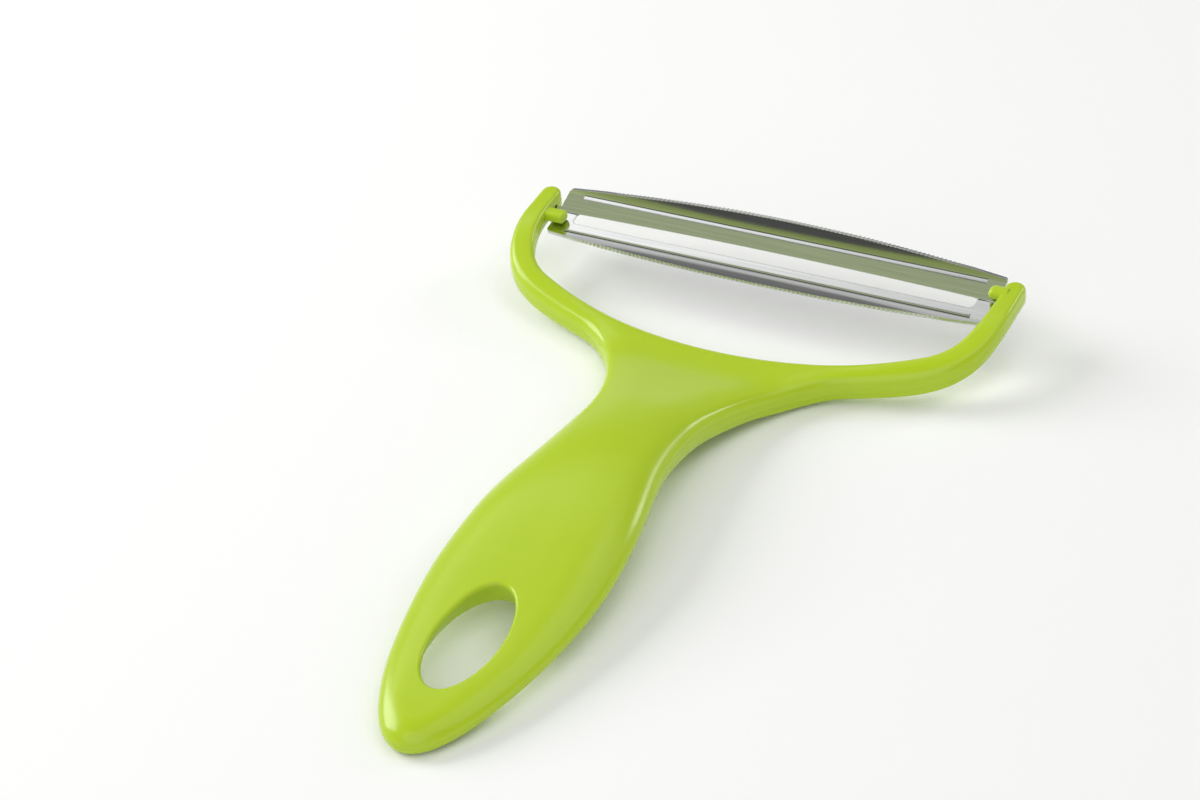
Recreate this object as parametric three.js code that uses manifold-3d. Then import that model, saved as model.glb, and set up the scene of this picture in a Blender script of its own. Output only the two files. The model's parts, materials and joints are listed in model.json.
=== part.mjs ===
// Wide two-armed peeler with a swivelling blade. Millimetres, +Z up.
// X runs along the blade, +Y from the handle end towards the blade.
// The drawing below puts the swivel axis over X = 0, Y = 0. The last lines turn it by REST_TILT and move
// it so that the origin is the middle of the underside of the bounding box.
import * as THREE from 'three';
import { mergeVertices } from 'three/addons/utils/BufferGeometryUtils.js';
import Module from 'manifold-3d';

const wasm = await Module();
wasm.setup();

// Handle outline, right half
const END_Y = -159.4;
const GRIP = { x: 17.3, y: -112.9 };
const NECK = { x: 12, y: -65 };
const SHOULDER = { x: 30.6, y: -31.55, slope: 0.35 };
const ARM_OUT = 56.65;
const ARM_IN = 52.2;
const ARM_R = (ARM_OUT - ARM_IN) / 2;
const ARM_TOP = 2.1;
const BOW_Y = -30.6;
const BOW_CORNER = { x: 43, y: -21.6 };

// Turn that lays the bow and the handle end on one plane
const REST_TILT = 2.08;

// Hanging hole
const HOLE = { y: -133.4, halfWidth: 6.6, halfLength: 13.4, rim: 0.7, flare: { x: 1.6, y: 1.2 } };

// Swivel axis, stops and blade
const PIVOT_Z = 7.35;
const PIVOT_HOLE_R = 0.95;
const PIVOT_DEPTH = 2.4;
const STOP_R = 1.15;
const STOP_WIDE = 1.25;
const STOPS = [
  { side: -1, y: -4.15, z: 8.58, tip: 47.75 },
  { side: 1, y: 0.1, z: 9.5, tip: 49.7 },
];
// Strips run from the crease to a bead, lips from the bead to the curved outer edge
const BLADE = {
  halfLength: 51.4,
  slide: 0.4,
  sheet: 0.7,
  edge: 0.24,
  crease: { y: -0.6, z: 7.25 },
  strip: 5.2,
  lip: 1.65,
  bulge: 2.5,
  far: { side: 1, tilt: 18.5, lipTilt: 21 },
  near: { side: -1, tilt: 9, lipTilt: 5 },
  beadHalfLength: 47.5,
  beadHalfWidth: 0.55,
  beadHeight: 0.4,
  slotHalfLength: 47,
  slotWidth: 3.1,
  slotCorner: 1.3,
  cutBow: 0.65,
};
const TONGUE = { reach: 53.7, halfWidth: 0.55 };

// Heights along the length: each list holds [y, value] knots
const MID = [[-175, 2.6], [-160, 4], [-145, 5.35], [-130, 6.1], [-112, 7.5], [-95, 9.05], [-78, 8.95],
  [-62, 6.3], [-48, 2.75], [-38, 0.5], [-29, 1.1], [-20, 4.4], [-10, 7.55], [0, 8.25], [8, 8.35]];
const CROWN = [[-175, 0.1], [-157, 0.1], [-133, 0.3], [-105, 1.6], [-66, 2], [-48, 1.3], [-30, 0.5],
  [-12, 0.15], [8, 0.15]];
const CROWN_REACH = [[-175, 6], [-150, 9], [-113, 15], [-66, 11], [-40, 7], [-25, 3.2], [-10, 2.2],
  [8, 2.2]];
const WALL = [[-175, 1], [-66, 1.1], [-30, 1.5], [-12, 1.35], [8, 1.35]];
const WALL_BELOW = [[-175, 1], [-90, 1.1], [-62, 2.1], [-45, 1.7], [-30, 1.5], [-12, 1.35], [8, 1.35]];
const CROWN_BELOW = 0.3;
const EDGE_R = [[-175, 1.2], [-66, 1.2], [-30, 1], [-12, 0.8], [8, 0.8]];

// Smooth curve through the knots of one of the lists above
function along(knots, y) {
  let i = 0;
  while (i < knots.length - 2 && y > knots[i + 1][0]) i += 1;
  const slope = (k) => {
    const a = knots[Math.max(k - 1, 0)];
    const b = knots[Math.min(k + 1, knots.length - 1)];
    return (b[1] - a[1]) / (b[0] - a[0]);
  };
  const [y0, v0] = knots[i];
  const [y1, v1] = knots[i + 1];
  const h = y1 - y0;
  const t = (y - y0) / h;
  const u = 1 - t;
  const bend = h * t * u * (u * slope(i) - t * slope(i + 1));
  return u * u * (1 + 2 * t) * v0 + t * t * (3 - 2 * t) * v1 + bend;
}

// Closed-body helpers
function toManifold(geometry) {
  const clean = geometry.clone();
  clean.deleteAttribute('normal');
  clean.deleteAttribute('uv');
  const welded = mergeVertices(clean, 1e-4);
  return new wasm.Manifold(new wasm.Mesh({
    numProp: 3,
    vertProperties: new Float32Array(welded.attributes.position.array),
    triVerts: new Uint32Array(welded.index.array),
  }));
}

function fromManifold(body) {
  const mesh = body.getMesh();
  const geometry = new THREE.BufferGeometry();
  geometry.setAttribute('position', new THREE.BufferAttribute(new Float32Array(mesh.vertProperties), 3));
  geometry.setIndex(new THREE.BufferAttribute(new Uint32Array(mesh.triVerts), 1));
  return geometry;
}

function meshGeometry(points, triangles) {
  const geometry = new THREE.BufferGeometry();
  geometry.setAttribute('position', new THREE.Float32BufferAttribute(points.flat(), 3));
  geometry.setIndex(triangles.flat());
  return geometry;
}

// Stack of closed rings with the same number of points, closed at both ends
function ringStack(rings) {
  const n = rings[0].length;
  const points = rings.flat();
  const triangles = [];
  for (let k = 0; k + 1 < rings.length; k += 1) {
    for (let i = 0; i < n; i += 1) {
      const a = k * n + i;
      const b = k * n + ((i + 1) % n);
      triangles.push([a, b, b + n], [a, b + n, a + n]);
    }
  }
  const last = (rings.length - 1) * n;
  for (let i = 1; i + 1 < n; i += 1) {
    triangles.push([0, i + 1, i], [last, last + i, last + i + 1]);
  }
  return meshGeometry(points, triangles);
}

// Plan outline of the right half: outside from handle end to arm, inside from bow to arm, round tip
const outside = new THREE.Path();
const tangent = new THREE.Vector2(1, SHOULDER.slope).normalize();
outside.moveTo(0, END_Y);
outside.bezierCurveTo(11.4, END_Y, GRIP.x, -125.2, GRIP.x, GRIP.y);
outside.bezierCurveTo(GRIP.x, -88.2, NECK.x, -87.3, NECK.x, NECK.y);
outside.bezierCurveTo(NECK.x, -55.3, SHOULDER.x - 13 * tangent.x, SHOULDER.y - 13 * tangent.y,
  SHOULDER.x, SHOULDER.y);
outside.bezierCurveTo(SHOULDER.x + 17.7 * tangent.x, SHOULDER.y + 17.7 * tangent.y,
  ARM_OUT, -24.4, ARM_OUT, -5.1);
outside.lineTo(ARM_OUT, ARM_TOP);

const bowRise = BOW_CORNER.y - BOW_Y;
const bowRadius = (BOW_CORNER.x ** 2 + bowRise ** 2) / (2 * bowRise);
const bowSweep = Math.asin(BOW_CORNER.x / bowRadius);
const inside = new THREE.Path();
inside.absarc(0, BOW_Y + bowRadius, bowRadius, -Math.PI / 2, -Math.PI / 2 + bowSweep, false);
inside.bezierCurveTo(BOW_CORNER.x + 8 * Math.cos(bowSweep), BOW_CORNER.y + 8 * Math.sin(bowSweep),
  ARM_IN, -11.3, ARM_IN, 0.4);
inside.lineTo(ARM_IN, ARM_TOP);

function tipPoint(degrees) {
  const t = THREE.MathUtils.degToRad(degrees);
  return new THREE.Vector2(ARM_OUT - ARM_R + ARM_R * Math.cos(t), ARM_TOP + ARM_R * Math.sin(t));
}

const outlinePoints = [...outside.getSpacedPoints(260)];
for (let a = 15; a < 180; a += 15) outlinePoints.push(tipPoint(a));
outlinePoints.push(...inside.getSpacedPoints(160).reverse());
function edgeDistance(x, y) {
  let best = 1e9;
  const ax = Math.abs(x);
  for (let i = 0; i + 1 < outlinePoints.length; i += 1) {
    const p = outlinePoints[i];
    const q = outlinePoints[i + 1];
    const dx = q.x - p.x;
    const dy = q.y - p.y;
    const t = Math.min(1, Math.max(0, ((ax - p.x) * dx + (y - p.y) * dy) / (dx * dx + dy * dy || 1)));
    best = Math.min(best, Math.hypot(ax - p.x - t * dx, y - p.y - t * dy));
  }
  return best;
}

// Height of the upper skin over the middle surface, d inside the outline, and depth of the lower skin
function skinHeight(d, y, wall, crownShare) {
  const r = along(EDGE_R, y);
  const round = 1 - Math.min(d / r, 1);
  const dome = 1 - Math.min(d / along(CROWN_REACH, y), 1);
  const crown = crownShare * along(CROWN, y) * (1 - dome * dome);
  return along(wall, y) + r * Math.sqrt(1 - round * round) + crown;
}
const heightAbove = (d, y) => skinHeight(d, y, WALL, 1);
const depthBelow = (d, y) => skinHeight(d, y, WALL_BELOW, CROWN_BELOW);

// Distances from the edge that follow its rounding
const EDGE_BAND = 1.25;
const STEPS = [0, 0.1, 0.42, 1];
function crossRow(from, to, farEdge) {
  const length = from.distanceTo(to);
  const reach = Math.min(EDGE_BAND, length * 0.4);
  const near = STEPS.map((s) => s * reach);
  const mirrored = near.map((s) => length - s).reverse();
  const even = near.map((s, i) => near[3] + (length - near[3]) * ((i + 2) / 5));
  const far = mirrored.map((s, i) => s * farEdge + even[i] * (1 - farEdge));
  const middle = (near[3] + far[0]) / 2;
  return [...near, middle, ...far].map((s) => from.clone().lerp(to, s / length));
}

// Plan mesh: rows across the arms and bow, then rows across the handle
const planPoints = [];
const planTriangles = [];
const planKeys = new Map();
function planVertex(p, side) {
  const key = `${(p.x * side).toFixed(3)},${p.y.toFixed(3)}`.replace('-0.000,', '0.000,');
  if (!planKeys.has(key)) {
    planKeys.set(key, planPoints.length);
    planPoints.push([Math.abs(p.x) < 5e-4 ? 0 : p.x * side, p.y]);
  }
  return planKeys.get(key);
}
function joinRows(rowA, rowB, side) {
  for (let i = 0; i + 1 < rowA.length; i += 1) {
    const quad = [rowA[i], rowA[i + 1], rowB[i + 1], rowB[i]].map((p) => planVertex(p, side));
    if (side > 0) quad.reverse();
    const [a, b, c, d] = quad;
    planTriangles.push([a, b, c], [a, c, d]);
  }
}

// The bow rows start at SPLIT of the outside, where the handle rows end
const SPLIT = 0.625;
const BOW_ROWS = 28;
const HANDLE_ROWS = 34;
const bowRows = [];
for (let k = 0; k <= BOW_ROWS; k += 1) {
  const u = k / BOW_ROWS;
  const ahead = u + 0.64 * u * (1 - u) ** 2;
  bowRows.push(crossRow(outside.getPointAt(SPLIT + (1 - SPLIT) * u), inside.getPointAt(ahead), 1));
}
for (const a of [20, 40, 60, 75, 86]) bowRows.push(crossRow(tipPoint(a), tipPoint(180 - a), 1));

const handleRows = [];
const rowStart = 0.005;
function addHandleRow(u, centre, farEdge) {
  handleRows.push(crossRow(outside.getPointAt(u), new THREE.Vector2(0, centre), farEdge));
}
for (const s of STEPS) addHandleRow(SPLIT - rowStart * s, BOW_Y - EDGE_BAND * s, 1);
const firstEdge = outside.getPointAt(SPLIT - rowStart).y;
for (let k = 1; k <= HANDLE_ROWS; k += 1) {
  const t = k / HANDLE_ROWS;
  const u = (SPLIT - rowStart) * (1 - t) + 0.003 * t;
  const edge = outside.getPointAt(u).y;
  const fade = Math.max(0, 1 - (firstEdge - edge) / 45);
  addHandleRow(u, edge + (BOW_Y - EDGE_BAND - firstEdge) * fade * fade, Math.max(0, 1 - k / 5));
}
for (const side of [1, -1]) {
  for (let k = 0; k + 1 < bowRows.length; k += 1) joinRows(bowRows[k], bowRows[k + 1], side);
  for (let k = 0; k + 1 < handleRows.length; k += 1) joinRows(handleRows[k + 1], handleRows[k], side);
}

// Lift the plan mesh to an upper and a lower skin and close it along its free edges
function liftPlan() {
  const n = planPoints.length;
  const upper = [];
  const lower = [];
  for (const [x, y] of planPoints) {
    const mid = along(MID, y);
    const d = edgeDistance(x, y);
    upper.push([x, y, mid + heightAbove(d, y)]);
    lower.push([x, y, mid - depthBelow(d, y)]);
  }
  const directed = new Set();
  for (const [a, b, c] of planTriangles) {
    directed.add(`${a},${b}`).add(`${b},${c}`).add(`${c},${a}`);
  }
  const triangles = [];
  for (const [a, b, c] of planTriangles) {
    triangles.push([a, b, c], [a + n, c + n, b + n]);
    for (const [p, q] of [[a, b], [b, c], [c, a]]) {
      if (!directed.has(`${q},${p}`)) triangles.push([p, p + n, q + n], [p, q + n, q]);
    }
  }
  return meshGeometry([...upper, ...lower], triangles);
}

// Cutter for the hanging hole, flared where it meets both skins
function holeCutter() {
  const n = 48;
  const levels = [];
  for (const a of [0, 30, 60, 90]) {
    const t = THREE.MathUtils.degToRad(a);
    levels.push([HOLE.rim * (1 - Math.sin(t)), -HOLE.rim * (1 - Math.cos(t))]);
  }
  const ring = (offset, flare, height) => {
    const out = [];
    for (let i = 0; i < n; i += 1) {
      const t = (i / n) * Math.PI * 2;
      const x = (HOLE.halfWidth + flare * HOLE.flare.x) * Math.cos(t);
      const y = HOLE.y + (HOLE.halfLength + flare * HOLE.flare.y) * Math.sin(t);
      const normal = new THREE.Vector2(HOLE.halfLength * Math.cos(t), HOLE.halfWidth * Math.sin(t));
      normal.setLength(offset);
      out.push([x + normal.x, y + normal.y, along(MID, y) + height(edgeDistance(x, y), y)]);
    }
    return out;
  };
  const above = (drop) => (d, y) => heightAbove(d, y) + drop;
  const below = (drop) => (d, y) => -depthBelow(d, y) - drop;
  const top = levels.map(([offset, drop]) => ring(offset, 0, above(drop + 0.05)));
  const bottom = levels.map(([offset, drop]) => ring(offset, 1, below(drop + 0.05)));
  return ringStack([ring(HOLE.rim, 1, below(3)), ...bottom, ...top.reverse(), ring(HOLE.rim, 0, above(3))]);
}

function alongX(geometry, x, y, z) {
  return geometry.rotateZ(-Math.PI / 2).translate(x, y, z);
}

function buildHandle() {
  let body = toManifold(liftPlan());
  body = body.subtract(toManifold(holeCutter()));
  for (const stop of STOPS) {
    const root = ARM_IN + 1.5;
    const span = root - stop.tip - 2 * STOP_R;
    const pin = new THREE.CapsuleGeometry(STOP_R, span, 4, 14).scale(STOP_WIDE, 1, 1);
    body = body.add(toManifold(alongX(pin, stop.side * (root + stop.tip) / 2, stop.y, stop.z)));
  }
  for (const side of [-1, 1]) {
    const bore = new THREE.CylinderGeometry(PIVOT_HOLE_R, PIVOT_HOLE_R, PIVOT_DEPTH + 1, 18);
    const x = side * (ARM_IN + (PIVOT_DEPTH - 1) / 2);
    body = body.subtract(toManifold(alongX(bore, x, 0, PIVOT_Z)));
  }
  return fromManifold(body);
}

// Blade: one formed sheet. p runs across it from the crease, positive away from the handle
function sheetPoint(x, p) {
  const half = p > 0 ? BLADE.far : BLADE.near;
  const strip = Math.min(Math.abs(p), BLADE.strip);
  const lip = Math.abs(p) - strip;
  const tilt = THREE.MathUtils.degToRad(half.tilt);
  const lipTilt = THREE.MathUtils.degToRad(half.lipTilt);
  const overEnd = Math.max(0, Math.abs(x) - (BLADE.beadHalfLength - BLADE.beadHalfWidth));
  const fromBead = Math.hypot(overEnd, Math.abs(p) - BLADE.strip) / BLADE.beadHalfWidth;
  const bead = BLADE.beadHeight * Math.max(0, 1 - fromBead * fromBead);
  return {
    y: BLADE.crease.y + half.side * (strip * Math.cos(tilt) + lip * Math.cos(lipTilt)),
    z: BLADE.crease.z + half.side * (strip * Math.sin(tilt) + lip * Math.sin(lipTilt)) + bead,
  };
}

function bladeSheet() {
  const half = 16;
  const stations = [-BLADE.halfLength, 0.6 - BLADE.halfLength];
  for (let i = -half; i <= half; i += 1) stations.push(49.6 * Math.sin((i / half) * (Math.PI / 2)));
  stations.push(BLADE.halfLength - 0.6, BLADE.halfLength);
  const upper = [];
  const lower = [];
  let columns = 0;
  for (const x of stations) {
    const belly = 1 - (x / BLADE.halfLength) ** 2;
    const corner = Math.abs(x) > BLADE.halfLength - 0.3 ? 0.5 : 0;
    const { strip, beadHalfWidth: w } = BLADE;
    const edge = strip + BLADE.lip + BLADE.bulge * belly - corner;
    const out = [1.6, 3.1, strip - w, strip, strip + w, (strip + w + edge) / 2, edge];
    const across = [...out.map((q) => -q).reverse(), 0, ...out];
    columns = across.length;
    across.forEach((p, j) => {
      const at = sheetPoint(x, p);
      const thick = (j === 0 || j === columns - 1 ? BLADE.edge : BLADE.sheet) / 2;
      upper.push([x, at.y, at.z + thick]);
      lower.push([x, at.y, at.z - thick]);
    });
  }
  const n = upper.length;
  const triangles = [];
  const rows = stations.length;
  const id = (i, j) => i * columns + j;
  const wall = (p, q) => triangles.push([p, p + n, q + n], [p, q + n, q]);
  for (let i = 0; i + 1 < rows; i += 1) {
    for (let j = 0; j + 1 < columns; j += 1) {
      const [a, b, c, d] = [id(i, j), id(i + 1, j), id(i + 1, j + 1), id(i, j + 1)];
      triangles.push([a, b, c], [a, c, d], [a + n, c + n, b + n], [a + n, d + n, c + n]);
    }
    wall(id(i, 0), id(i + 1, 0));
    wall(id(i + 1, columns - 1), id(i, columns - 1));
  }
  for (let j = 0; j + 1 < columns; j += 1) {
    wall(id(0, j + 1), id(0, j));
    wall(id(rows - 1, j), id(rows - 1, j + 1));
  }
  return meshGeometry([...upper, ...lower], triangles);
}

function slotCutter() {
  const { slotHalfLength: a, slotWidth, slotCorner: r } = BLADE;
  const low = -slotWidth;
  const shape = new THREE.Shape();
  shape.moveTo(r - a, low);
  shape.lineTo(a - r, low);
  shape.absarc(a - r, low + r, r, -Math.PI / 2, 0, false);
  shape.lineTo(a, -0.05);
  shape.quadraticCurveTo(0, 2 * BLADE.cutBow, -a, -0.05);
  shape.lineTo(-a, low + r);
  shape.absarc(r - a, low + r, r, Math.PI, Math.PI * 1.5, false);
  const cutter = new THREE.ExtrudeGeometry(shape, { depth: 8, bevelEnabled: false, curveSegments: 12 });
  return cutter.translate(0, BLADE.crease.y, BLADE.crease.z - 4);
}

function buildBlade() {
  let body = toManifold(bladeSheet()).subtract(toManifold(slotCutter()));
  const root = BLADE.halfLength - 1.2;
  for (const side of [-1, 1]) {
    const tongue = new THREE.BoxGeometry(TONGUE.reach - root, 2 * TONGUE.halfWidth, BLADE.sheet);
    tongue.rotateX(THREE.MathUtils.degToRad((BLADE.far.tilt + BLADE.near.tilt) / 2));
    tongue.translate(side * (TONGUE.reach + root) / 2, 0, PIVOT_Z);
    body = body.add(toManifold(tongue));
  }
  return fromManifold(body).translate(BLADE.slide, 0, 0);
}

// Assembly
const green = new THREE.MeshStandardMaterial({ color: 0xaecc3e, roughness: 0.22, metalness: 0 });
const steel = new THREE.MeshStandardMaterial({ color: 0xc3c7c4, roughness: 0.32, metalness: 1 });
const part = new THREE.Group();
for (const [name, geometry, material] of [
  ['handle', buildHandle(), green],
  ['blade', buildBlade(), steel],
]) {
  const mesh = new THREE.Mesh(geometry, material);
  mesh.name = name;
  part.add(mesh);
}

for (const mesh of part.children) mesh.geometry.rotateX(THREE.MathUtils.degToRad(REST_TILT));
const box = new THREE.Box3().setFromObject(part);
const centre = box.getCenter(new THREE.Vector3());
for (const mesh of part.children) {
  mesh.geometry.translate(-centre.x, -centre.y, -box.min.z);
  mesh.geometry.computeVertexNormals();
}

export default part;
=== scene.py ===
import json
import math

import bmesh
import bpy
import numpy as np
from mathutils import Matrix, Vector


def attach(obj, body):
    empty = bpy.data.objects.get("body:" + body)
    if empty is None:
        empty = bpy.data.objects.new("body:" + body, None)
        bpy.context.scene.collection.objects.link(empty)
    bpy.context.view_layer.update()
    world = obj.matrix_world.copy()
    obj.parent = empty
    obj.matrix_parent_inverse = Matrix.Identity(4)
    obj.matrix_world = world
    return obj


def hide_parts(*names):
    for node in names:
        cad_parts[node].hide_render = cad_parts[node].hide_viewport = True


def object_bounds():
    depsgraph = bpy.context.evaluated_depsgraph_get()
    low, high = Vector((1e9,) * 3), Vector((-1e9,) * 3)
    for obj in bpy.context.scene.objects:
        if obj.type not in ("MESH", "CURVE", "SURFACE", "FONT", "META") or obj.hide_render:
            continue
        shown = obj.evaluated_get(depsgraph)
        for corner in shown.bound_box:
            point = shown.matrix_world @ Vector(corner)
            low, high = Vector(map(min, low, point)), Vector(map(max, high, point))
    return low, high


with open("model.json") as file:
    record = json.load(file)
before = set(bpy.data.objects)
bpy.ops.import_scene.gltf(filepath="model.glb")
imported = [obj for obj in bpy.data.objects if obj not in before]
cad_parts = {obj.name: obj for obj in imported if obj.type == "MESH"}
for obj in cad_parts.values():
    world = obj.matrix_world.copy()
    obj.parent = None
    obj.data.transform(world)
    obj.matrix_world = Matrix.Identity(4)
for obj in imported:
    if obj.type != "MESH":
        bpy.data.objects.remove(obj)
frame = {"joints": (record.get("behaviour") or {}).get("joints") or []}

cad_low, cad_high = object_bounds()

# Drawing frame: millimetres, swivel axis over X = 0, Y = 0. TURN and SHIFT carry it to the part's frame
MM = 1000
PIVOT = Vector(frame["joints"][0]["pos_m"])
PIVOT_Z = 7.35
REST_TILT = math.radians(2.08)
TURN = Matrix.Rotation(REST_TILT, 3, "X")
SHIFT = PIVOT * MM - TURN @ Vector((0, 0, PIVOT_Z))

# Guards against division by zero, and the slack for comparing places along the blade
TINY = 1e-9
SAME = 1e-6

# Handle outline, right half. A pull places the control point of a curve next to that point
END_Y, END_PULL = -159.4, 11.4
GRIP, GRIP_PULLS = (17.3, -112.9), (-125.2, -88.2)
NECK, NECK_PULLS = (12.0, -65.0), (-87.3, -55.3)
SHOULDER, SHOULDER_PULLS = np.array((30.6, -31.55)), (13, 17.7)
SHOULDER_SLOPE = 0.35
ARM_OUT, ARM_OUT_Y, ARM_OUT_PULL = 56.65, -5.1, -24.4
ARM_IN, ARM_IN_Y, ARM_IN_PULL = 52.2, 0.4, -11.3
ARM_R = (ARM_OUT - ARM_IN) / 2
ARM_TOP = 2.1
BOW_Y = -30.6
BOW_CORNER, BOW_PULL = np.array((43.0, -21.6)), 8
HOLE_Y, HOLE_A, HOLE_B = -133.4, 6.6, 13.4
HOLE_RIM = 0.7
HOLE_FLARE = (1.6, 1.2)

# Heights along the length, as (y, value) knots
MID = ((-175, 2.6), (-160, 4), (-145, 5.35), (-130, 6.1), (-112, 7.5), (-95, 9.05), (-78, 8.95),
       (-62, 6.3), (-48, 2.75), (-38, 0.5), (-29, 1.1), (-20, 4.4), (-10, 7.55), (0, 8.25), (8, 8.35))
CROWN = ((-175, 0.1), (-157, 0.1), (-133, 0.3), (-105, 1.6), (-66, 2), (-48, 1.3), (-30, 0.5),
         (-12, 0.15), (8, 0.15))
CROWN_REACH = ((-175, 6), (-150, 9), (-113, 15), (-66, 11), (-40, 7), (-25, 3.2), (-10, 2.2), (8, 2.2))
CROWN_ABOVE, CROWN_BELOW = 1, 0.3

# Each skin goes from the side wall over a rounded edge to its face, measured from the middle surface
TOP_WALL = ((-175, -0.4), (-113, -0.4), (-88, -0.2), (-66, 0.3), (-48, 0.6), (-30, 0.9), (-12, 1.1),
            (8, 1.2))
TOP_FACE = ((-175, 2.2), (-66, 2.3), (-30, 2.5), (-12, 2.15), (8, 2.15))
TOP_REACH = ((-175, 4), (-158, 4.5), (-142, 6.5), (-113, 8), (-95, 7), (-80, 5), (-66, 3), (-48, 2),
             (-30, 1.6), (-12, 1.1), (8, 0.9))
LOW_WALL = ((-175, 1), (-90, 1.1), (-62, 2.1), (-45, 1.7), (-30, 1.5), (-12, 1.35), (8, 1.35))
LOW_FACE = ((-175, 2.2), (-90, 2.3), (-62, 3.3), (-45, 2.75), (-30, 2.5), (-12, 2.15), (8, 2.15))
LOW_REACH = ((-175, 1.2), (-66, 1.2), (-30, 1), (-12, 0.8), (8, 0.8))

# Stops on the arms, and the blind holes that hold the blade's tongues
STOPS = (
    {"side": -1, "y": -4.15, "z": 8.58, "tip": 47.75, "high": 1.2, "wide": 1.6, "nose": 0.5,
     "square": 3.2},
    {"side": 1, "y": 0.1, "z": 9.5, "tip": 49.6, "high": 1.28, "wide": 1.65, "nose": 1.2,
     "square": 2.2},
)
STOP_ROOT = 1.5
NOSE_TURN, NOSE_RINGS = 84, 9
PIVOT_HOLE_R, PIVOT_DEPTH, PIVOT_LEAD = 0.95, 2.4, 1
ROUND = 2

# Blade: flat strips from the crease to two pressed lines, curled lips from there to the outer edges.
# press and press_w are a line's depth and half width, edge_sheet is the sheet left at the ground edge
BLADE_HALF = 51.4
BLADE_SLIDE = 0.4
SHEET, CUT_SHEET = 0.7, 0.12
CREASE = (-0.6, 7.25)
END_WIDTH = 6.85
FAR = {"side": 1, "strip": 5.2, "tilt": 18.5, "bulge": 3.1, "lip_tilts": (21, 31),
       "press": 0.034, "press_w": 0.12, "bevel": 0.8, "edge_sheet": 0.39}
NEAR = {"side": -1, "strip": 6.0, "tilt": 9, "bulge": 3.0, "lip_tilts": (7, -3),
        "press": 0.085, "press_w": 0.22, "bevel": 0.1, "edge_sheet": 0.15}
PRESS_HALF = 47.5
LEAST_LIP, LEAST_CURL, BEVEL_SHARE = 0.3, 0.2, 0.6
SLOT_HALF, SLOT_WIDTH, SLOT_CORNER = 47.0, 3.1, 1.3
SLOT_EASE, SLOT_FADE = 0.15, 0.8
CUT_BOW, CUT_BEVEL = 0.65, 1.8
CORNER_R = 0.75
TOOTH_PITCH, TOOTH_DEPTH = 1.0, 0.22
TOOTHED_HALF, TOOTH_FADE = 43, 4
GROOVE_DEPTH, GROOVE_END_SHARE = 0.24, 0.4
TONGUE_REACH, TONGUE_HALF = 53.7, 0.55


def along(knots, y):
    """Smooth curve through the knots, with slopes from their neighbours."""
    ky, kv = np.array(knots, float).T
    y = np.asarray(y, float)
    i = np.clip(np.searchsorted(ky, y) - 1, 0, len(ky) - 2)
    lo = np.maximum(np.arange(len(ky)) - 1, 0)
    hi = np.minimum(np.arange(len(ky)) + 1, len(ky) - 1)
    slope = (kv[hi] - kv[lo]) / (ky[hi] - ky[lo])
    h = ky[i + 1] - ky[i]
    t = (y - ky[i]) / h
    u = 1 - t
    return (u * u * (1 + 2 * t) * kv[i] + t * t * (3 - 2 * t) * kv[i + 1]
            + h * t * u * (u * slope[i] - t * slope[i + 1]))


CURVE_POINTS = 120


def bezier(a, b, c, d):
    """Points of a cubic curve from a to d with the control points b and c."""
    t = np.linspace(0, 1, CURVE_POINTS)[:, None]
    a, b, c, d = (np.array(p, float) for p in (a, b, c, d))
    return (1 - t) ** 3 * a + 3 * t * (1 - t) ** 2 * b + 3 * t * t * (1 - t) * c + t ** 3 * d


class Path:
    """A polyline that is read by its share of length."""

    def __init__(self, *pieces):
        self.points = np.vstack([pieces[0]] + [p[1:] for p in pieces[1:]])
        step = np.hypot(*np.diff(self.points, axis=0).T)
        self.share = np.concatenate([[0], np.cumsum(step)]) / step.sum()

    def at(self, u):
        return np.array([np.interp(u, self.share, self.points[:, k]) for k in (0, 1)]).T


def outer_path():
    """Outline from the handle end past the shoulder to the arm's tip."""
    tangent = np.array((1, SHOULDER_SLOPE)) / math.hypot(1, SHOULDER_SLOPE)
    before, after = SHOULDER - SHOULDER_PULLS[0] * tangent, SHOULDER + SHOULDER_PULLS[1] * tangent
    arm_start = (ARM_OUT, ARM_OUT_Y)
    return Path(
        bezier((0, END_Y), (END_PULL, END_Y), (GRIP[0], GRIP_PULLS[0]), GRIP),
        bezier(GRIP, (GRIP[0], GRIP_PULLS[1]), (NECK[0], NECK_PULLS[0]), NECK),
        bezier(NECK, (NECK[0], NECK_PULLS[1]), before, SHOULDER),
        bezier(SHOULDER, after, (ARM_OUT, ARM_OUT_PULL), arm_start),
        np.array((arm_start, (ARM_OUT, ARM_TOP))),
    )


def inner_path():
    """Outline from the middle of the bow to the arm's tip."""
    rise = BOW_CORNER[1] - BOW_Y
    radius = (BOW_CORNER[0] ** 2 + rise ** 2) / (2 * rise)
    sweep = math.asin(BOW_CORNER[0] / radius)
    arc = np.linspace(0, sweep, CURVE_POINTS)
    leave = BOW_CORNER + BOW_PULL * np.array((math.cos(sweep), math.sin(sweep)))
    arm_start = (ARM_IN, ARM_IN_Y)
    return Path(
        np.column_stack([radius * np.sin(arc), BOW_Y + radius * (1 - np.cos(arc))]),
        bezier(BOW_CORNER, leave, (ARM_IN, ARM_IN_PULL), arm_start),
        np.array((arm_start, (ARM_IN, ARM_TOP))),
    )


def tip_point(angle):
    """Point on the round end of the arm."""
    centre = ARM_OUT - ARM_R
    return np.array((centre + ARM_R * math.cos(angle), ARM_TOP + ARM_R * math.sin(angle)))


OUTSIDE_POINTS, TIP_POINTS, INSIDE_POINTS = 420, 30, 260
TIP_MARGIN = 0.05
outside = outer_path()
inside = inner_path()
outline = np.vstack([
    outside.at(np.linspace(0, 1, OUTSIDE_POINTS)),
    [tip_point(a) for a in np.linspace(TIP_MARGIN, math.pi - TIP_MARGIN, TIP_POINTS)],
    inside.at(np.linspace(1, 0, INSIDE_POINTS)),
])


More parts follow.
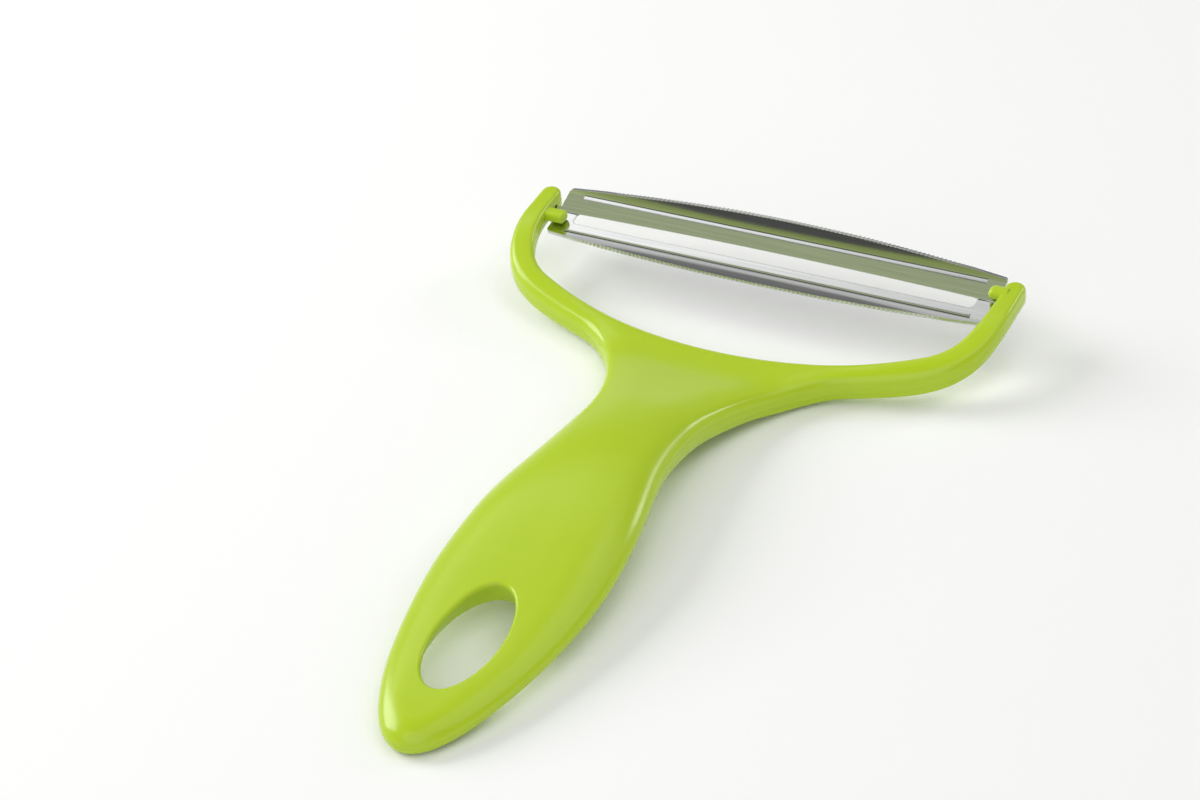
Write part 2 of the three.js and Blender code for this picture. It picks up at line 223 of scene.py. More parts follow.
def edge_distance(xy):
    """Distance from the nearest point of the outline."""
    p = np.column_stack([np.abs(xy[:, 0]), xy[:, 1]])
    best = np.full(len(p), np.inf)
    for a, b in zip(outline[:-1], outline[1:]):
        ab = b - a
        t = np.clip(((p - a) @ ab) / max(ab @ ab, TINY), 0, 1)
        best = np.minimum(best, np.hypot(*(p - a - t[:, None] * ab).T))
    return best


def skin(xy, wall, face, reach, crown_share):
    """Height of a skin over the middle surface: side wall, rounded edge and crown."""
    d, y = edge_distance(xy), xy[:, 1]
    edge_round = 1 - np.minimum(d / along(reach, y), 1)
    dome = 1 - np.minimum(d / along(CROWN_REACH, y), 1)
    crown = crown_share * along(CROWN, y) * (1 - dome * dome)
    start = along(wall, y)
    return start + (along(face, y) - start) * np.sqrt(1 - edge_round * edge_round) + crown


def upper_z(xy):
    return along(MID, xy[:, 1]) + skin(xy, TOP_WALL, TOP_FACE, TOP_REACH, CROWN_ABOVE)


def lower_z(xy):
    return along(MID, xy[:, 1]) - skin(xy, LOW_WALL, LOW_FACE, LOW_REACH, CROWN_BELOW)


# Rows across the plan run from the outer outline inwards, close together where edges are rounded
BAND = 1.3
BAND_MARGIN, BAND_MOST = 1.1, 0.4
CLUSTER = np.array((0, 0.006, 0.025, 0.06, 0.11, 0.18, 0.27, 0.38, 0.52, 0.72, 1.0))
FILL = 9


def cross_row(start, stop, far_edge):
    """Points from start to stop. far_edge is 1 where stop is a rounded edge too."""
    length = math.hypot(*(stop - start))
    reach = min(max(BAND, BAND_MARGIN * along(TOP_REACH, start[1])), BAND_MOST * length)
    near = CLUSTER * reach
    even = np.linspace(reach, length, len(CLUSTER) + FILL + 1)[1:]
    far_cluster = length - near[::-1]
    middle = np.linspace(reach, far_cluster[0], FILL + 2)[1:-1]
    clustered = np.concatenate([middle, far_cluster])
    s = np.concatenate([near, far_edge * clustered + (1 - far_edge) * even])
    return start + np.outer(s / max(length, TINY), stop - start)


# SPLIT is the share of the outer outline that belongs to the handle, the rest belongs to bow and arm
SPLIT, SPLIT_STEP = 0.625, 0.006
BOW_ROWS = 110
BOW_LEAD = 0.64
TIP_ANGLES = np.radians((8, 18, 28, 38, 48, 58, 67, 75, 82, 87, 90))


def bow_rows():
    """Rows across the bow and the arm, up to the arm's tip."""
    rows = []
    for u in np.linspace(0, 1, BOW_ROWS):
        ahead = u + BOW_LEAD * u * (1 - u) ** 2
        rows.append(cross_row(outside.at(SPLIT + (1 - SPLIT) * u), inside.at(ahead), 1))
    for a in TIP_ANGLES:
        rows.append(cross_row(tip_point(a), tip_point(math.pi - a), 1))
    return np.array(rows)


# Angles round half of the hole, in small steps at its ends, and rows just beyond it. Below the bow the
# rows rise to its edge over LIFT_LENGTH, and that edge's cluster of points fades over EDGE_FADE_ROWS
HOLE_ANGLES = np.radians(np.concatenate([
    np.arange(0, 24, 3), np.arange(24, 156, 4), np.arange(156, 181, 3)]))
HOLE_STEPS = np.array((0.08, 0.25, 0.55, 1.0))
HOLE_MARGIN = 1.6
GRIP_ROWS, END_ROWS = 70, 30
LIFT_LENGTH = 45
EDGE_FADE_ROWS = 9


def handle_rows(hole_a, hole_b):
    """Rows down the handle. Next to the hole they stop at its edge."""
    rows = []
    for s in CLUSTER:
        middle = np.array((0, BOW_Y - BAND * s))
        rows.append(cross_row(outside.at(SPLIT - SPLIT_STEP * s), middle, 1))
    edge_x, edge_y = outside.points.T
    first = outside.at(SPLIT - SPLIT_STEP)[1]
    hole_top, hole_end = HOLE_Y + hole_b, HOLE_Y - hole_b
    ys = np.concatenate([
        np.linspace(first, hole_top + HOLE_MARGIN, GRIP_ROWS)[1:],
        hole_top + HOLE_STEPS[::-1],
        HOLE_Y + hole_b * np.cos(HOLE_ANGLES),
        hole_end - HOLE_STEPS,
        END_Y + (hole_end - HOLE_MARGIN - END_Y) * np.linspace(1, 0, END_ROWS) ** 2,
    ])
    for k, y in enumerate(ys):
        fade = max(0, 1 - (first - y) / LIFT_LENGTH)
        lift = (BOW_Y - BAND - first) * fade * fade
        along_hole = 1 - ((y - HOLE_Y) / hole_b) ** 2
        centre = np.array((hole_a * math.sqrt(max(0, along_hole)), y + lift))
        edge = np.array((np.interp(y, edge_y, edge_x), y))
        rows.append(cross_row(edge, centre, max(0, 1 - (k + 1) / EDGE_FADE_ROWS)))
    return np.array(rows)


def placed(point):
    """A point of the drawing, in metres in the part's frame."""
    return (TURN @ Vector(point) + SHIFT) / MM


WELD, DEGENERATE = 2e-6, 1e-7


class Build:
    """Collects point grids in the drawing frame and makes one welded mesh of them."""

    def __init__(self):
        self.points = []
        self.faces = []
        self.ground = []

    def grid(self, points, flip=False, ground=0.0):
        rows, columns = points.shape[:2]
        for i in range(rows - 1):
            for j in range(columns - 1):
                a = len(self.points) + i * columns + j
                quad = (a, a + 1, a + columns + 1, a + columns)
                self.faces.append(quad[::-1] if flip else quad)
        self.points += [tuple(p) for p in points.reshape(-1, 3)]
        self.ground += list(np.broadcast_to(ground, (rows, columns)).ravel())

    def both_sides(self, points, flip=False):
        self.grid(points, flip)
        self.grid(points * (-1, 1, 1), not flip)

    def sheet(self, up, low, ground=0.0):
        self.grid(up, ground=ground)
        self.grid(low, True)

    def rim(self, up, low, ground=0.0):
        self.grid(np.array([up, low]), ground=ground)

    def make(self, name):
        mesh = bpy.data.meshes.new(name)
        mesh.from_pydata([placed(p) for p in self.points], [], self.faces)
        ground = mesh.attributes.new("ground", "FLOAT", "POINT")
        ground.data.foreach_set("value", np.array(self.ground, np.float32))
        bm = bmesh.new()
        bm.from_mesh(mesh)
        bmesh.ops.remove_doubles(bm, verts=bm.verts, dist=WELD)
        bmesh.ops.dissolve_degenerate(bm, edges=bm.edges, dist=DEGENERATE)
        bmesh.ops.recalc_face_normals(bm, faces=bm.faces)
        bm.to_mesh(mesh)
        bm.free()
        piece = bpy.data.objects.new(name, mesh)
        bpy.context.scene.collection.objects.link(piece)
        return piece


# Edges that turn by more than these degrees stay sharp
HANDLE_SHARP, BLADE_SHARP = 50, 35


def shade(piece, sharp):
    piece.data.shade_smooth()
    piece.data.set_sharp_from_angle(angle=math.radians(sharp))


def lifted(rows, height):
    """Rows of the plan, each point at the height of a skin."""
    flat = rows.reshape(-1, 2)
    return np.column_stack([flat, height(flat)]).reshape(*rows.shape[:2], 3)


# Side wall between the two skins, with the thin line where the mould parts
SEAM, SEAM_LIMIT = 0.6, 0.98
SEAM_PROUD = 0.06
SEAM_STEPS = ((-0.2, 0), (-0.07, SEAM_PROUD), (0.07, SEAM_PROUD), (0.2, 0))


def side_wall(top, bottom):
    """Levels of the wall along the outline, from the handle end round the arm to the bow."""
    direction = np.gradient(top[:, :2], axis=0)
    normal = np.column_stack([direction[:, 1], -direction[:, 0]])
    normal /= np.maximum(np.hypot(*normal.T), TINY)[:, None]
    normal[0], normal[-1] = (0, -1), (0, 1)
    depth = (top - bottom)[:, 2:]
    levels = [top, top + 0.5 * SEAM * (bottom - top)]
    for step, proud in SEAM_STEPS:
        share = np.minimum(SEAM + step / depth, SEAM_LIMIT)
        seam = top + share * (bottom - top)
        seam[:, :2] += proud * normal
        levels.append(seam)
    return np.array(levels + [bottom])


def hole_ring(grow, flare, drop, height, sign):
    """Half ring of the hole's wall, at a distance below the upper skin or above the lower one."""
    x = (HOLE_A + flare * HOLE_FLARE[0] + grow) * np.sin(HOLE_ANGLES)
    y = HOLE_Y + (HOLE_B + flare * HOLE_FLARE[1] + grow) * np.cos(HOLE_ANGLES)
    xy = np.column_stack([x, y])
    return np.column_stack([xy, height(xy) - sign * drop])


RIM_RINGS = 7


def hole_wall():
    """Wall of the hanging hole with a rounded rim at both skins."""
    turn = np.radians(np.linspace(0, 90, RIM_RINGS))
    rounds = list(zip(HOLE_RIM * (1 - np.sin(turn)), HOLE_RIM * (1 - np.cos(turn))))
    rings = [hole_ring(grow, 0, drop, upper_z, 1) for grow, drop in rounds]
    rings += [hole_ring(grow, 1, drop, lower_z, -1) for grow, drop in reversed(rounds)]
    return np.array(rings)


def outline_points(handle_skin, bow_skin):
    """Outer edge of a skin, from the handle end round the arm to the middle of the bow."""
    return np.vstack([handle_skin[::-1, 0], bow_skin[1:, 0], bow_skin[-2::-1, -1]])


def build_handle():
    """The moulding without its stops and pivot holes."""
    build = Build()
    bow = bow_rows()
    bow_top, bow_low = lifted(bow, upper_z), lifted(bow, lower_z)
    build.both_sides(bow_top)
    build.both_sides(bow_low, True)

    rim_a, rim_b = HOLE_A + HOLE_RIM, HOLE_B + HOLE_RIM
    top = lifted(handle_rows(rim_a, rim_b), upper_z)
    low = lifted(handle_rows(rim_a + HOLE_FLARE[0], rim_b + HOLE_FLARE[1]), lower_z)
    build.both_sides(top, True)
    build.both_sides(low)
    build.both_sides(side_wall(outline_points(top, bow_top), outline_points(low, bow_low)))
    build.both_sides(hole_wall())
    return build.make("peeler_handle")


# Closed solids along X that are joined to the handle or cut from it
RING_POINTS = 40
AROUND = np.linspace(0, 2 * math.pi, RING_POINTS, endpoint=False)


def solid_along_x(name, sections):
    """Closed body of rings. Each section is (x, y, z, half width, half height, squareness)."""
    bm = bmesh.new()
    rings = []
    for x, y, z, a, b, square in sections:
        c, s = np.cos(AROUND), np.sin(AROUND)
        ys = y + a * np.sign(c) * np.abs(c) ** (2 / square)
        zs = z + b * np.sign(s) * np.abs(s) ** (2 / square)
        rings.append([bm.verts.new(placed((x, p, q))) for p, q in zip(ys, zs)])
    for lower, upper in zip(rings[:-1], rings[1:]):
        for i in range(RING_POINTS):
            j = (i + 1) % RING_POINTS
            bm.faces.new((lower[i], lower[j], upper[j], upper[i]))
    bm.faces.new(rings[0][::-1])
    bm.faces.new(rings[-1])
    bmesh.ops.recalc_face_normals(bm, faces=bm.faces)
    mesh = bpy.data.meshes.new(name)
    bm.to_mesh(mesh)
    bm.free()
    body = bpy.data.objects.new(name, mesh)
    bpy.context.scene.collection.objects.link(body)
    return body


def stop_body(stop):
    """Peg with a rounded nose. Its root ends inside the arm."""
    side, nose = stop["side"], stop["nose"]
    turns = np.radians(np.linspace(0, NOSE_TURN, NOSE_RINGS))
    rings = [(ARM_IN + STOP_ROOT, 0)]
    rings += [(stop["tip"] + nose * (1 - math.sin(t)), nose * (1 - math.cos(t))) for t in turns]
    sections = [
        (side * x, stop["y"], stop["z"], stop["wide"] - shrink, stop["high"] - shrink, stop["square"])
        for x, shrink in rings
    ]
    return solid_along_x("stop", sections)


def pivot_bore(side):
    """Blind hole for a tongue, from just outside the arm's inner wall."""
    xs = (ARM_IN - PIVOT_LEAD, ARM_IN + PIVOT_DEPTH)
    return solid_along_x("bore", [(side * x, 0, PIVOT_Z, PIVOT_HOLE_R, PIVOT_HOLE_R, ROUND) for x in xs])


def combine(piece, other, operation):
    """Joins a body to the piece or cuts it from the piece, and removes the body."""
    modifier = piece.modifiers.new("combine", "BOOLEAN")
    modifier.operation = operation
    modifier.solver = "EXACT"
    modifier.object = other
    graph = bpy.context.evaluated_depsgraph_get()
    mesh = bpy.data.meshes.new_from_object(piece.evaluated_get(graph))
    piece.modifiers.remove(modifier)
    piece.data = mesh
    bpy.data.objects.remove(other)


def finish_handle(handle):
    """Adds the stops and cuts the pivot holes."""
    for stop in STOPS:
        combine(handle, stop_body(stop), "UNION")
    for side in (-1, 1):
        combine(handle, pivot_bore(side), "DIFFERENCE")
    shade(handle, HANDLE_SHARP)


# Blade. q is the distance from the crease, measured across the sheet
def lip_offset(x, length, half):
    """Run and rise along a lip. Its tilt changes evenly, and most at mid-blade."""
    start, stop = np.radians(half["lip_tilts"])
    curl = np.sqrt(np.maximum(1 - (x / BLADE_HALF) ** 2, LEAST_CURL))
    bend = curl * (stop - start) / (END_WIDTH + half["bulge"] - half["strip"])
    turned = start + bend * length
    return (np.sin(turned) - np.sin(start)) / bend, (np.cos(start) - np.cos(turned)) / bend


def sheet_middle(x, q, half):
    """Y and Z of the sheet's middle surface, with the pressed line."""
    strip = np.minimum(q, half["strip"])
    run, rise = lip_offset(x, np.maximum(q - half["strip"], 0), half)
    tilt = math.radians(half["tilt"])
    past_end = np.maximum(0, np.abs(x) - (PRESS_HALF - half["press_w"]))
    from_line = np.hypot(past_end, q - half["strip"]) / half["press_w"]
    pressed = half["press"] * np.maximum(0, 1 - from_line)
    y = CREASE[0] + half["side"] * (strip * math.cos(tilt) + run)
    z = CREASE[1] + half["side"] * (strip * math.sin(tilt) + rise) - pressed
    return y, z


STEPS_PER_TOOTH = 6
PLAIN_STATIONS, PLAIN_MARGINS = 12, (0.4, 0.3)
STATION_DIGITS = 4


def quarter_turn(radius, degrees):
    """Distances from the end of a rounded corner, in equal steps of its angle."""
    return radius * (1 - np.sin(np.radians(np.arange(0, 91, degrees))))


def blade_stations():
    """Places along the blade: even over the teeth, closer at the ends of slot, lines and sheet."""
    step = TOOTH_PITCH / STEPS_PER_TOOTH
    count = int(TOOTHED_HALF / step)
    toothed = step * np.arange(-count, count + 1)
    slot_end = SLOT_HALF - quarter_turn(SLOT_CORNER, degrees=10)
    press_end = PRESS_HALF - quarter_turn(NEAR["press_w"], degrees=18)
    corner = BLADE_HALF - quarter_turn(CORNER_R, degrees=15)
    plain = np.linspace(TOOTHED_HALF + PLAIN_MARGINS[0], BLADE_HALF - CORNER_R - PLAIN_MARGINS[1],
                        PLAIN_STATIONS)
    ends = np.concatenate([slot_end, press_end, corner, plain])
    return np.unique(np.round(np.concatenate([toothed, ends, -ends]), STATION_DIGITS))


def slot_edges(xs):
    """Distances of the slot's far and near edges from the crease."""
    past = np.clip((np.abs(xs) - (SLOT_HALF - SLOT_CORNER)) / SLOT_CORNER, 0, 1)
    far = CUT_BOW * np.maximum(0, 1 - (xs / SLOT_HALF) ** 2)
    near = SLOT_WIDTH - SLOT_CORNER * (1 - np.sqrt(1 - past ** 2))
    return far, near


def outer_edge(xs, half):
    """Distance of the curved outer edge from the crease, with its corners and teeth."""
    a = np.abs(xs)
    belly = 1 - (xs / BLADE_HALF) ** 2
    past = np.maximum(0, a - (BLADE_HALF - CORNER_R))
    corner = CORNER_R - np.sqrt(CORNER_R ** 2 - past ** 2)
    tooth = TOOTH_DEPTH * np.abs(np.sin(math.pi * xs / TOOTH_PITCH))
    tooth = tooth * np.clip((TOOTHED_HALF - a) / TOOTH_FADE, 0, 1)
    return END_WIDTH + half["bulge"] * belly - (corner + tooth)


# Shares of the way across each band of the sheet. The tongue goes on from the far strip's columns
# TONGUE_FIRST to TONGUE_LAST, which lie evenly about the swivel axis
FAR_COS = math.cos(math.radians(FAR["tilt"]))
FAR_FLAT = FAR["strip"] - FAR["press_w"]
TONGUE_SIDES = [(-CREASE[0] + side * TONGUE_HALF) / FAR_COS / FAR_FLAT for side in (-1, 1)]
TONGUE_FIRST, TONGUE_LAST = 1, 5
FAR_STEPS = np.array((0, TONGUE_SIDES[0], 0.05, 0.11, 0.18, TONGUE_SIDES[1], 0.45, 0.7, 1))
NEAR_STEPS = np.array((0, 0.02, 0.045, 0.07, 0.3, 0.65, 1))
LINE_STEPS = np.array((-0.92, -0.5, -0.08, 0, 0.08, 0.5, 0.92, 1))
LIP_STEPS = np.array((0.03, 0.2, 0.4, 0.6, 0.8, 0.97, 1))
BEVEL_STEPS = np.array((0.1, 0.5, 1))


def columns(inner, steps, line, wide, edge, bevel):
    """Distances from the crease: strip, pressed line, lip and bevel."""
    start, stop, bevel_start = line - wide, line + wide, edge - bevel
    return np.hstack([
        inner[:, None] + np.outer(start - inner, steps),
        line[:, None] + wide * LINE_STEPS,
        stop[:, None] + np.outer(bevel_start - stop, LIP_STEPS),
        bevel_start[:, None] + np.outer(bevel, BEVEL_STEPS),
    ])


def half_sheet(xs, inner, steps, half):
    """Upper and lower skin of one half, and 1 where a point lies on a ground face."""
    edge = outer_edge(xs, half)
    wide = half["press_w"]
    line = np.minimum(half["strip"], edge - LEAST_LIP - wide)
    bevel = np.minimum(half["bevel"], BEVEL_SHARE * (edge - line - wide))
    q = columns(inner, steps, line, wide, edge, bevel)
    x = np.repeat(xs[:, None], q.shape[1], 1)
    y, z = sheet_middle(x, q, half)
    outer = np.clip(1 - (edge[:, None] - q) / bevel[:, None], 0, 1)
    top = z + SHEET / 2 - (SHEET - half["edge_sheet"]) * outer
    low = z - SHEET / 2
    from_slot = q - inner[:, None]
    in_slot = np.clip((SLOT_HALF - np.abs(xs)) / SLOT_FADE, 0, 1)[:, None]
    if half is FAR:
        share = np.clip(1 - from_slot / CUT_BEVEL, 0, 1) * in_slot
        low = low + (SHEET - CUT_SHEET) * share
    else:
        ease = np.maximum(0, SLOT_EASE - from_slot)
        top = top - (SLOT_EASE - np.sqrt(SLOT_EASE ** 2 - ease ** 2)) * in_slot
    x = x + BLADE_SLIDE
    return np.stack([x, y, top], 2), np.stack([x, y, low], 2), (outer > 0) * 1.0


# Bridge between slot and end: shares of its width, and the groove's depth at each
BRIDGE_STEPS = np.array((1, 0.7, 0.4, 0.25, 0.19, 0.14, 0.06, 0.03, 0))
GROOVE_SHARES = np.array((0, 0, 0, 0, 0.5, 1, 1, 0, 0))


def add_bridge(build, xs):
    """Sheet between the slot and one end, with the groove next to the crease."""
    q = BRIDGE_STEPS * (SLOT_WIDTH - SLOT_CORNER)
    x = np.repeat(xs[:, None], len(q), 1)
    y, z = sheet_middle(x, np.repeat(q[None], len(xs), 0), NEAR)
    fade = np.linspace(1, GROOVE_END_SHARE, len(xs))[:, None]
    up = np.stack([x + BLADE_SLIDE, y, z + SHEET / 2 - GROOVE_SHARES * GROOVE_DEPTH * fade], 2)
    low = np.stack([x + BLADE_SLIDE, y, z - SHEET / 2], 2)
    build.sheet(up, low)
    build.rim(up[0], low[0])
    build.rim(up[-1], low[-1])


TONGUE_STEPS = np.array((0, 0.85, 1))
TONGUE_WIDTHS = np.array((1, 1, 0.78))


def add_tongue(build, side, up_edge, low_edge):
    """Tongue that goes on from the end of the far strip, narrower at its tip."""
    reach = side * TONGUE_STEPS * (TONGUE_REACH - BLADE_HALF)
    middle_y = up_edge[:, 1].mean()
    skins = []
    for edge in (up_edge, low_edge):
        points = np.repeat(edge[None], len(reach), 0)
        points[:, :, 0] += reach[:, None]
        points[:, :, 1] = middle_y + (points[:, :, 1] - middle_y) * TONGUE_WIDTHS[:, None]
        skins.append(points)
    up, low = skins
    build.sheet(up, low)
    build.rim(up[:, 0], low[:, 0])
    build.rim(up[:, -1], low[:, -1])
    build.rim(up[-1], low[-1])


def build_blade():
    """The whole blade: two halves, and at each end a bridge, end faces and a tongue."""
    build = Build()
    xs = blade_stations()
    a = np.abs(xs)
    slot_far, slot_near = slot_edges(xs)
    slot_rows = a <= SLOT_HALF + SAME
    far_up, far_low, far_ground = half_sheet(xs, slot_far, FAR_STEPS, FAR)
    near_up, near_low, near_ground = half_sheet(xs, slot_near, NEAR_STEPS, NEAR)
    for up, low, ground in ((far_up, far_low, far_ground), (near_up, near_low, near_ground)):
        build.sheet(up, low, ground)
        build.rim(up[:, -1], low[:, -1], 1.0)
        build.rim(up[slot_rows, 0], low[slot_rows, 0])

    tongue = slice(TONGUE_FIRST, TONGUE_LAST + 1)
    for side in (-1, 1):
        rows = np.flatnonzero(xs * side >= SLOT_HALF - SAME)
        rows = rows[np.argsort(a[rows])]
        end = rows[-1]
        add_bridge(build, xs[rows])
        build.rim(near_up[end], near_low[end])
        build.rim(far_up[end, :TONGUE_FIRST + 1], far_low[end, :TONGUE_FIRST + 1])
        build.rim(far_up[end, TONGUE_LAST:], far_low[end, TONGUE_LAST:])
        add_tongue(build, side, far_up[end, tongue], far_low[end, tongue])
    blade = build.make("peeler_blade")
    shade(blade, BLADE_SHARP)
    return blade


# Materials. NOISE_SPAN is the part of a noise's values that carries most of its change
NOISE_SPAN = (0.3, 0.7)


def new_material(name):
    material = bpy.data.materials.new(name)
    material.use_nodes = True
    nodes, links = material.node_tree.nodes, material.node_tree.links
    return material, nodes, links, nodes["Principled BSDF"]


def noise(nodes, links, where, scale, detail, stretch=(1, 1, 1)):
    """Noise in the piece's own metres, stretched along its axes."""
    mapping = nodes.new("ShaderNodeMapping")
    mapping.inputs["Scale"].default_value = stretch
    texture = nodes.new("ShaderNodeTexNoise")
    texture.inputs["Scale"].default_value = scale
    texture.inputs["Detail"].default_value = detail
    links.new(where.outputs["Object"], mapping.inputs["Vector"])
    links.new(mapping.outputs["Vector"], texture.inputs["Vector"])
    return texture.outputs["Fac"]


def ramp(nodes, links, value, low, high):
    """Colour between low and high as the value crosses NOISE_SPAN."""
    node = nodes.new("ShaderNodeValToRGB")
    for element, place, colour in zip(node.color_ramp.elements, NOISE_SPAN, (low, high)):
        element.position = place
        element.color = (*colour, 1)
    links.new(value, node.inputs["Fac"])
    return node.outputs["Color"]


def level(nodes, links, value, span, low, high):
    """Number between low and high as the value crosses the span."""
    node = nodes.new("ShaderNodeMapRange")
    node.inputs["From Min"].default_value, node.inputs["From Max"].default_value = span
    node.inputs["To Min"].default_value = low
    node.inputs["To Max"].default_value = high
    links.new(value, node.inputs["Value"])
    return node.outputs["Result"]


def bump(nodes, links, height, strength, distance):
    node = nodes.new("ShaderNodeBump")
    node.inputs["Strength"].default_value = strength
    node.inputs["Distance"].default_value = distance
    links.new(height, node.inputs["Height"])
    return node.outputs["Normal"]


def green_plastic():
    """Glossy moulded plastic with faint clouds and flow marks."""
    material, nodes, links, shader = new_material("green_plastic")
    where = nodes.new("ShaderNodeTexCoord")
    cloud = noise(nodes, links, where, scale=40, detail=3)
    flow = noise(nodes, links, where, scale=90, detail=2, stretch=(1, 0.35, 1))
    colour = ramp(nodes, links, cloud, low=(0.440, 0.605, 0.016), high=(0.455, 0.620, 0.020))
    links.new(colour, shader.inputs["Base Color"])
    roughness = level(nodes, links, flow, NOISE_SPAN, low=0.22, high=0.26)
    links.new(roughness, shader.inputs["Roughness"])
    normal = bump(nodes, links, flow, strength=0.04, distance=0.0004)
    links.new(normal, shader.inputs["Normal"])
    shader.inputs["IOR"].default_value = 1.46
    return material


def blade_steel():
    """Steel brushed along the blade, rougher on its ground faces."""
    material, nodes, links, shader = new_material("blade_steel")
    where = nodes.new("ShaderNodeTexCoord")
    brushed = noise(nodes, links, where, scale=1, detail=5, stretch=(60, 2600, 2600))
    stains = noise(nodes, links, where, scale=120, detail=4)
    colour = ramp(nodes, links, brushed, low=(0.60, 0.61, 0.60), high=(0.69, 0.70, 0.69))
    links.new(colour, shader.inputs["Base Color"])
    ground = nodes.new("ShaderNodeAttribute")
    ground.attribute_name = "ground"
    rough = nodes.new("ShaderNodeMix")
    links.new(ground.outputs["Fac"], rough.inputs["Factor"])
    links.new(level(nodes, links, stains, NOISE_SPAN, low=0.09, high=0.12), rough.inputs["A"])
    links.new(level(nodes, links, brushed, NOISE_SPAN, low=0.22, high=0.32), rough.inputs["B"])
    links.new(rough.outputs["Result"], shader.inputs["Roughness"])
    normal = bump(nodes, links, brushed, strength=0.012, distance=0.00003)
    links.new(normal, shader.inputs["Normal"])
    shader.inputs["Metallic"].default_value = 1
    return material


handle = build_handle()
finish_handle(handle)
handle.data.materials.append(green_plastic())
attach(handle, "handle")
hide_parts("handle")

blade = build_blade()
blade.data.materials.append(blade_steel())
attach(blade, "blade")
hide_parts("blade")


# Floor, light and camera
FLOOR_HALF, FLOOR_GAP = 3.0, 0.0005
FLOOR_COLOUR = (0.96, 0.96, 0.96, 1)
FLOOR_ROUGHNESS = 0.9


def pale_floor():
    """Matt square just below the part."""
    mesh = bpy.data.meshes.new("floor")
    s = FLOOR_HALF
    mesh.from_pydata([(-s, -s, 0), (s, -s, 0), (s, s, 0), (-s, s, 0)], [], [(0, 1, 2, 3)])
    floor = bpy.data.objects.new("floor", mesh)
    floor.location.z = cad_low.z - FLOOR_GAP
    bpy.context.scene.collection.objects.link(floor)
    material, nodes, links, shader = new_material("pale_floor")
    shader.inputs["Base Color"].default_value = FLOOR_COLOUR
    shader.inputs["Roughness"].default_value = FLOOR_ROUGHNESS
    shader.inputs["Specular IOR Level"].default_value = 0
    mesh.materials.append(material)


# X of the directions that the blade mirrors to the camera, and the part of a panel's length that shows
MIRROR_X = -0.36
MIRROR_SPAN = (0.38, 0.62)


def sky(x, degrees):
    """Direction with the given X that stands at the given angle over the far horizon."""
    rest = math.sqrt(1 - x * x)
    return x, rest * math.cos(math.radians(degrees)), rest * math.sin(math.radians(degrees))


def grade(light, first, last):
    """Changes a panel's strength from first to last over MIRROR_SPAN of its length."""
    light.use_nodes = True
    nodes, links = light.node_tree.nodes, light.node_tree.links
    surface = nodes.new("ShaderNodeNewGeometry")
    split = nodes.new("ShaderNodeSeparateXYZ")
    links.new(surface.outputs["Parametric"], split.inputs["Vector"])
    strength = level(nodes, links, split.outputs["X"], MIRROR_SPAN, first, last)
    links.new(strength, nodes["Emission"].inputs["Strength"])


def softbox(name, direction, distance, size, radiance, colour=(1, 1, 1), grades=None):
    """Lamp that faces the blade from the given direction."""
    light = bpy.data.lights.new(name, "AREA")
    light.shape = "RECTANGLE"
    light.size, light.size_y = size
    light.energy = radiance * size[0] * size[1] * math.pi
    light.color = colour
    if grades:
        grade(light, *grades)
    lamp = bpy.data.objects.new(name, light)
    towards = Vector(direction).normalized()
    upright = towards.cross(Vector((1, 0, 0))).normalized()
    across = upright.cross(towards)
    turn = Matrix((across, upright, towards)).transposed()
    lamp.matrix_world = Matrix.Translation(PIVOT + towards * distance) @ turn.to_4x4()
    bpy.context.scene.collection.objects.link(lamp)


# Grey of the world by the height of the direction
WORLD_STEPS = ((0.0, 0.75), (0.2, 0.6), (0.35, 0.26), (0.55, 0.21), (0.75, 0.22), (0.85, 0.1),
               (1.0, 0.08))


def studio_world():
    """Pale at the horizon and darker above."""
    world = bpy.data.worlds.new("studio")
    world.use_nodes = True
    bpy.context.scene.world = world
    nodes, links = world.node_tree.nodes, world.node_tree.links
    where = nodes.new("ShaderNodeTexCoord")
    split = nodes.new("ShaderNodeSeparateXYZ")
    shades = nodes.new("ShaderNodeValToRGB")
    steps = shades.color_ramp.elements
    while len(steps) < len(WORLD_STEPS):
        steps.new(1.0)
    for element, (place, grey) in zip(steps, WORLD_STEPS):
        element.position = place
        element.color = (grey, grey, grey, 1)
    links.new(where.outputs["Generated"], split.inputs["Vector"])
    links.new(split.outputs["Z"], shades.inputs["Fac"])
    links.new(shades.outputs["Color"], nodes["Background"].inputs["Color"])


CAMERA_AT = placed((216.81, -446.67, 339.88))
CAMERA_AZIMUTH, CAMERA_ELEVATION, CAMERA_ROLL = np.radians((-60.281, 34.742, -4.492))
CAMERA_SENSOR, CAMERA_LENS = 36, 83.28
CAMERA_CLIP = (0.01, 20)


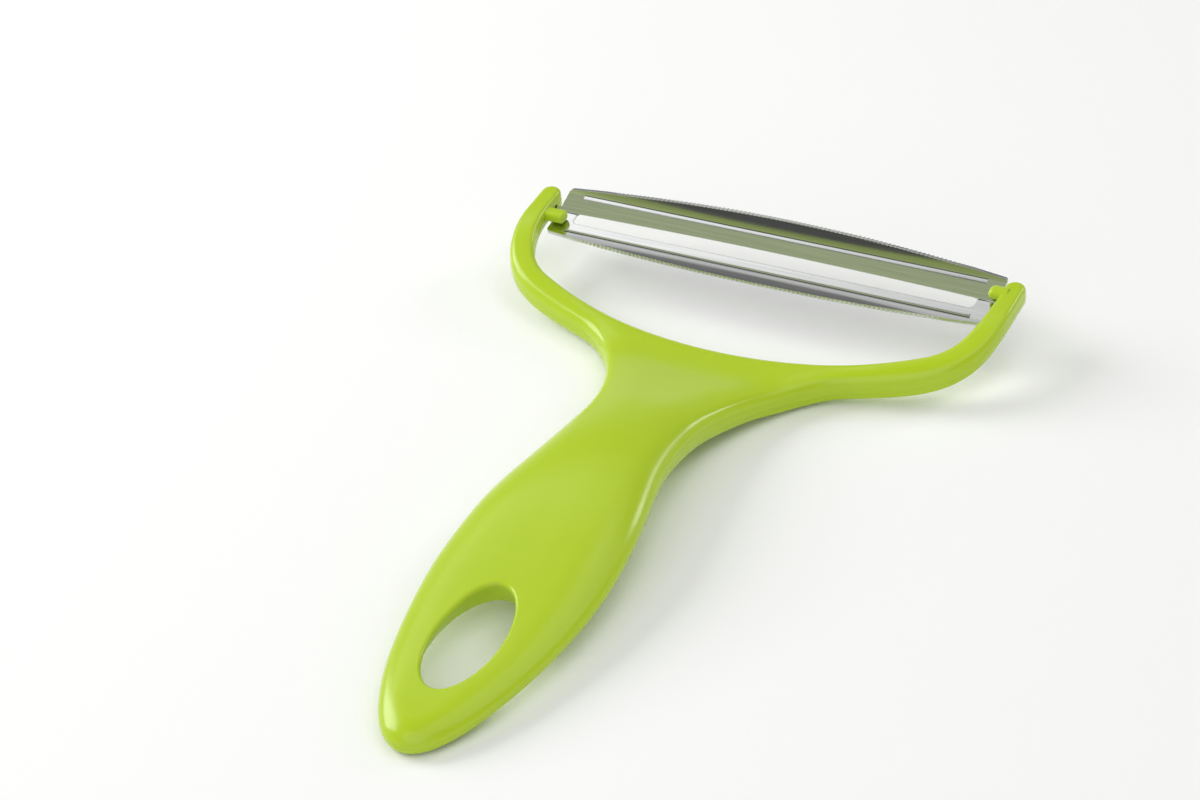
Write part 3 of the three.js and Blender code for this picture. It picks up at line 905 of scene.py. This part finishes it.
def photo_camera():
    """Camera at the photograph's viewing angle."""
    data = bpy.data.cameras.new("photo_camera")
    data.sensor_width = CAMERA_SENSOR
    data.lens = CAMERA_LENS
    data.clip_start, data.clip_end = CAMERA_CLIP
    camera = bpy.data.objects.new("photo_camera", data)
    level_out = math.cos(CAMERA_ELEVATION)
    back = Vector((level_out * math.cos(CAMERA_AZIMUTH), level_out * math.sin(CAMERA_AZIMUTH),
                   math.sin(CAMERA_ELEVATION)))
    right = Vector((-math.sin(CAMERA_AZIMUTH), math.cos(CAMERA_AZIMUTH), 0))
    right = Matrix.Rotation(CAMERA_ROLL, 3, back) @ right
    turn = Matrix((right, back.cross(right), back)).transposed()
    camera.matrix_world = Matrix.Translation(CAMERA_AT) @ turn.to_4x4()
    bpy.context.scene.collection.objects.link(camera)
    bpy.context.scene.camera = camera


# Panels that show in the blade, two of them tinted like its greenish reflections
BLADE_PANELS = (
    {"name": "key", "degrees": 60.6, "size": (1.3, 0.22), "radiance": 0.88, "grades": (1.42, 0.72)},
    {"name": "fade", "degrees": 50.8, "size": (1.3, 0.13), "radiance": 0.46},
    {"name": "sage", "degrees": 75.2, "size": (1.2, 0.185), "radiance": 0.40, "colour": (0.85, 1, 0.52)},
    {"name": "olive", "degrees": 83.2, "size": (1.2, 0.095), "radiance": 0.29, "colour": (0.74, 1, 0.12)},
)
BLADE_PANEL_DISTANCE = 1.0

# Lamps for handle and floor: name, direction, distance, size and radiance
ROOM_LAMPS = (
    ("overhead", (0.40, 0.1, 1.0), 1.08, (0.9, 0.9), 1.15),
    ("front", (0.05, -0.6, 0.77), 1.0, (0.9, 0.62), 1.2),
    ("fill", (0.2, -0.9, 0.42), 1.1, (0.9, 0.5), 1.0),
    ("left", (-0.85, -0.1, 0.5), 1.0, (0.55, 0.55), 6.2),
    ("rim", (0.5, 0.7, 0.45), 1.0, (0.16, 0.3), 8.0),
)

pale_floor()
studio_world()
for panel in BLADE_PANELS:
    softbox(panel["name"], sky(MIRROR_X, panel["degrees"]), BLADE_PANEL_DISTANCE, panel["size"],
            panel["radiance"], panel.get("colour", (1, 1, 1)), panel.get("grades"))
for lamp in ROOM_LAMPS:
    softbox(*lamp)
photo_camera()
bpy.context.scene.view_settings.view_transform = "Standard"
